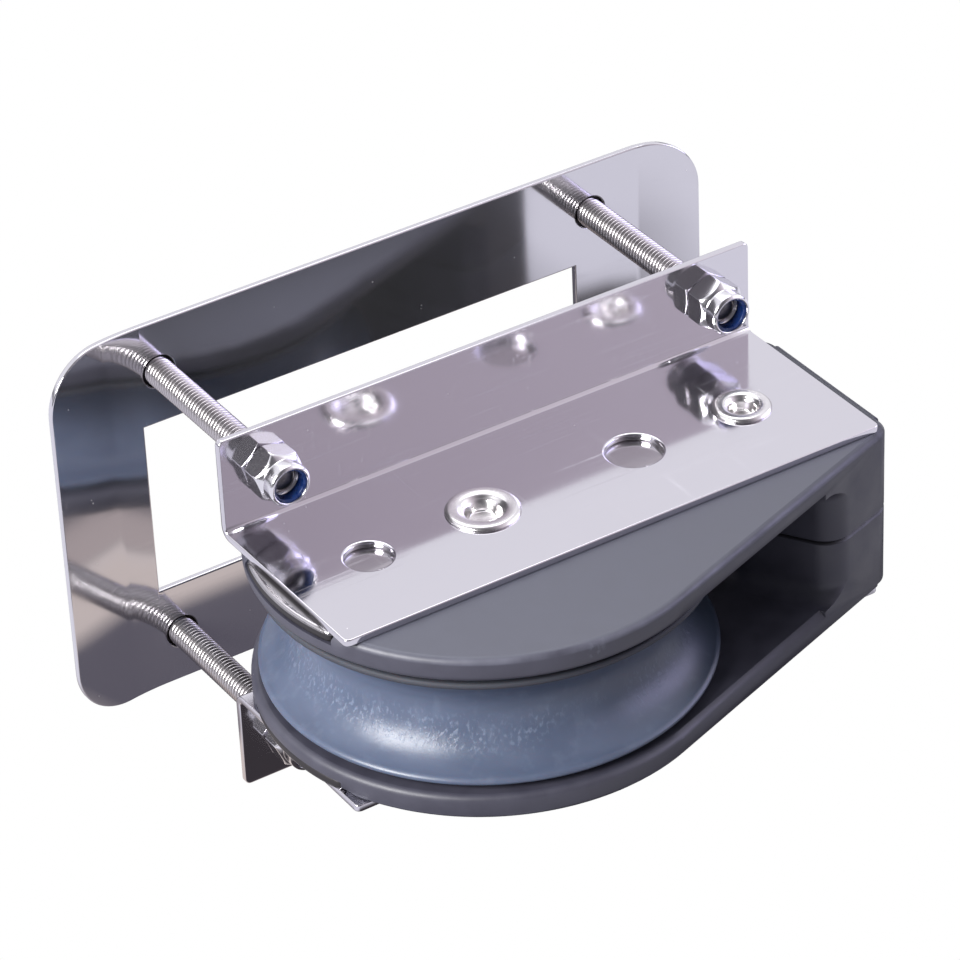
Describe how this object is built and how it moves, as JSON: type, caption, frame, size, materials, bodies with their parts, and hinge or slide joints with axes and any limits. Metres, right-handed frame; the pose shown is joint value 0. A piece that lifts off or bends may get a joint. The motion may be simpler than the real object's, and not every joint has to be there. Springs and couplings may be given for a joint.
{
  "type": "recessed sheave block",
  "caption": "Recessed deck block: a grooved sheave between plastic cheeks, held by steel angles and clamped by long screws behind a windowed face plate.",
  "frame": {"origin": "centre of the four panel screws, on the rear face of the face plate, which seats on the panel", "axes": "+X along the plate, +Y out through the plate's front and away from the block, +Z along the sheave's axle"},
  "size_m": [0.126, 0.0954, 0.0702],
  "materials": {
    "plate_steel": "mirror-polished stainless steel",
    "bracket_steel": "polished stainless steel sheet",
    "strap_steel": "polished stainless steel",
    "screw_steel": "rolled stainless steel thread",
    "nut_steel": "bright stainless steel",
    "fastener_steel": "turned stainless steel",
    "rivet_steel": "bright rolled stainless steel",
    "cheek_plastic": "dark grey moulded plastic, lightly scuffed",
    "sheave_plastic": "blue-grey turned acetal with fine machining lines",
    "ring_nylon": "blue nylon"
  },
  "bodies": {
    "plate": {"face_plate": "plate_steel", "screw_upper_left": "screw_steel", "screw_upper_right": "screw_steel", "screw_lower_left": "screw_steel", "screw_lower_right": "screw_steel"},
    "block": {"upper_bracket": "bracket_steel", "lower_bracket": "bracket_steel", "upper_cheek": "cheek_plastic", "lower_cheek": "cheek_plastic", "upper_strap": "strap_steel", "lower_strap": "strap_steel", "axle_sleeve": "fastener_steel", "axle_rivet": "rivet_steel", "tail_rivet": "rivet_steel"},
    "sheave_wheel": {"sheave": "sheave_plastic"},
    "nut_upper_left": {"lock_nut_upper_left": "nut_steel", "nylon_ring_upper_left": "ring_nylon"},
    "nut_upper_right": {"lock_nut_upper_right": "nut_steel", "nylon_ring_upper_right": "ring_nylon"},
    "nut_lower_left": {"lock_nut_lower_left": "nut_steel", "nylon_ring_lower_left": "ring_nylon"},
    "nut_lower_right": {"lock_nut_lower_right": "nut_steel", "nylon_ring_lower_right": "ring_nylon"}
  },
  "joints": [
    {"name": "clamp_slide", "type": "slide", "parent": "plate", "child": "block", "axis": [0, 1, 0], "range_m": [0, 0.0285]},
    {"name": "sheave_spin", "type": "hinge", "parent": "block", "child": "sheave_wheel", "pos_m": [-0.0144, -0.0527, 0], "axis": [0, 0, 1], "continuous": true},
    {"name": "nut_turn_upper_left", "type": "hinge", "parent": "block", "child": "nut_upper_left", "pos_m": [-0.042, -0.0341, 0.02575], "axis": [0, 1, 0], "range_deg": [0, 12830]},
    {"name": "nut_turn_upper_right", "type": "hinge", "parent": "block", "child": "nut_upper_right", "pos_m": [0.042, -0.0341, 0.02575], "axis": [0, 1, 0], "range_deg": [0, 12830]},
    {"name": "nut_turn_lower_left", "type": "hinge", "parent": "block", "child": "nut_lower_left", "pos_m": [-0.042, -0.0341, -0.02575], "axis": [0, 1, 0], "range_deg": [0, 12830]},
    {"name": "nut_turn_lower_right", "type": "hinge", "parent": "block", "child": "nut_lower_right", "pos_m": [0.042, -0.0341, -0.02575], "axis": [0, 1, 0], "range_deg": [0, 12830]}
  ],
  "couplings": [
    {"joint": "nut_turn_upper_left", "follows": "clamp_slide", "rad_per_m": 7854},
    {"joint": "nut_turn_upper_right", "follows": "clamp_slide", "rad_per_m": 7854},
    {"joint": "nut_turn_lower_left", "follows": "clamp_slide", "rad_per_m": 7854},
    {"joint": "nut_turn_lower_right", "follows": "clamp_slide", "rad_per_m": 7854}
  ]
}
